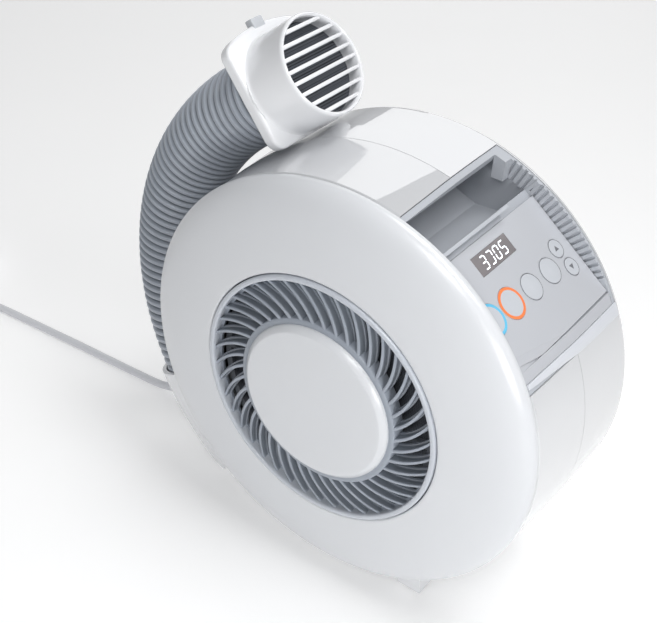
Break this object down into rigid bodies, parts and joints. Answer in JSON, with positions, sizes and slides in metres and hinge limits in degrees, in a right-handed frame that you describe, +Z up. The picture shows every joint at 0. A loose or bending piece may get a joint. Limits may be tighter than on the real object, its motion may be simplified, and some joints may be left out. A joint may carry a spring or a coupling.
{
  "type": "boot dryer",
  "caption": "Round standing warm-air dryer with a corrugated hose and slatted nozzle, an intake grille in the front cover and a control panel in a recess of the rim.",
  "frame": {"origin": "bottom centre of the standing dryer's bounding box, without its power cord: on the floor, midway between the hose's left side and the drum's right side, and midway between the centre cap and the drum's back", "axes": "+X to the right as seen from the grille side, +Y from the grille to the back, +Z up"},
  "size_m": [0.6976, 0.14, 0.3737],
  "materials": {
    "body_white": "gloss",
    "pad_rubber": "matte",
    "recess_grey": "satin",
    "panel_silver": "satin",
    "display_smoke": "gloss",
    "digit_white": "gloss",
    "board_green": "satin",
    "key_blue": "satin",
    "key_orange": "satin",
    "inner_plastic": "satin",
    "heater_frame": "matte",
    "heater_fins": "satin",
    "motor_dark": "satin",
    "bare_steel": "satin",
    "bezel_grey": "satin",
    "vane_grey": "satin",
    "filter_grey": "matte",
    "filter_mesh": "matte",
    "hose_grey": "satin",
    "cord_grey": "satin",
    "pin_brass": "polished"
  },
  "bodies": {
    "housing": {"front_shell": "body_white", "rear_shell": "body_white", "front_cover": "body_white", "hose_socket": "body_white", "right_foot": "body_white", "foot_pads": "pad_rubber", "recess_liner": "recess_grey", "control_panel": "panel_silver", "display_window": "display_smoke", "display_digits": "digit_white", "circuit_board": "board_green", "scroll_housing": "inner_plastic", "inlet_ring": "inner_plastic", "outlet_duct": "inner_plastic", "heater_frame": "heater_frame", "heater_element": "heater_fins", "thermal_cutout": "motor_dark", "motor_can": "motor_dark", "motor_bracket": "bare_steel", "hose_base": "hose_grey", "shell_screws": "bare_steel", "cord_gland": "cord_grey", "power_cord": "cord_grey", "cord_coil": "cord_grey", "plug_body": "cord_grey", "plug_pins": "pin_brass"},
    "fan": {"motor_shaft": "bare_steel", "impeller": "inner_plastic"},
    "intake_grille": {"grille_bezel": "bezel_grey", "intake_vanes": "vane_grey", "center_cap": "body_white", "filter_frame": "filter_grey", "filter_mesh": "filter_mesh"},
    "power_key": {"key_power": "key_blue"},
    "stop_key": {"key_stop": "key_orange"},
    "temperature_key": {"key_temperature": "panel_silver"},
    "timer_key": {"key_timer": "panel_silver"},
    "up_key": {"key_up": "panel_silver"},
    "down_key": {"key_down": "panel_silver"},
    "hose_1": {"hose_link_1": "hose_grey"},
    "hose_2": {"hose_link_2": "hose_grey"},
    "hose_3": {"hose_link_3": "hose_grey"},
    "hose_4": {"hose_link_4": "hose_grey", "nozzle_head": "body_white", "nozzle_slats": "body_white", "nozzle_screen": "filter_mesh"},
    "collar_button": {"release_button": "vane_grey"}
  },
  "joints": [
    {"name": "fan_spin", "type": "hinge", "parent": "housing", "child": "fan", "pos_m": [0.03025, 0.014, 0.16], "axis": [0, -1, 0], "continuous": true},
    {"name": "grille_twist", "type": "hinge", "parent": "housing", "child": "intake_grille", "pos_m": [0.03025, -0.061, 0.16], "axis": [0, -1, 0], "range_deg": [0, 20]},
    {"name": "hose_bend_1", "type": "hinge", "parent": "housing", "child": "hose_1", "pos_m": [-0.14059, 0.008, 0.09442], "axis": [0, -1, 0], "range_deg": [0, 14]},
    {"name": "hose_bend_2", "type": "hinge", "parent": "hose_1", "child": "hose_2", "pos_m": [-0.1525, 0.008, 0.15042], "axis": [0, -1, 0], "range_deg": [0, 14]},
    {"name": "hose_bend_3", "type": "hinge", "parent": "hose_2", "child": "hose_3", "pos_m": [-0.14651, 0.008, 0.20736], "axis": [0, -1, 0], "range_deg": [0, 14]},
    {"name": "hose_bend_4", "type": "hinge", "parent": "hose_3", "child": "hose_4", "pos_m": [-0.12323, 0.008, 0.25967], "axis": [0, -1, 0], "range_deg": [0, 14]},
    {"name": "power_key_press", "type": "slide", "parent": "housing", "child": "power_key", "axis": [-0.592, 0, -0.8059], "range_m": [0, 0.0006], "stiffness_N_per_m": 400, "springref_m": -0.0002},
    {"name": "stop_key_press", "type": "slide", "parent": "housing", "child": "stop_key", "axis": [-0.592, 0, -0.8059], "range_m": [0, 0.0006], "stiffness_N_per_m": 400, "springref_m": -0.0002},
    {"name": "temperature_key_press", "type": "slide", "parent": "housing", "child": "temperature_key", "axis": [-0.592, 0, -0.8059], "range_m": [0, 0.0006], "stiffness_N_per_m": 400, "springref_m": -0.0002},
    {"name": "timer_key_press", "type": "slide", "parent": "housing", "child": "timer_key", "axis": [-0.592, 0, -0.8059], "range_m": [0, 0.0006], "stiffness_N_per_m": 400, "springref_m": -0.0002},
    {"name": "up_key_press", "type": "slide", "parent": "housing", "child": "up_key", "axis": [-0.592, 0, -0.8059], "range_m": [0, 0.0006], "stiffness_N_per_m": 400, "springref_m": -0.0002},
    {"name": "down_key_press", "type": "slide", "parent": "housing", "child": "down_key", "axis": [-0.592, 0, -0.8059], "range_m": [0, 0.0006], "stiffness_N_per_m": 400, "springref_m": -0.0002},
    {"name": "button_press", "type": "slide", "parent": "hose_4", "child": "collar_button", "axis": [0.6428, 0, -0.766], "range_m": [0, 0.0015], "stiffness_N_per_m": 600, "springref_m": -0.0002}
  ],
  "couplings": [
    {"joint": "hose_bend_2", "follows": "hose_bend_1", "ratio": 1},
    {"joint": "hose_bend_3", "follows": "hose_bend_1", "ratio": 1},
    {"joint": "hose_bend_4", "follows": "hose_bend_1", "ratio": 1}
  ]
}
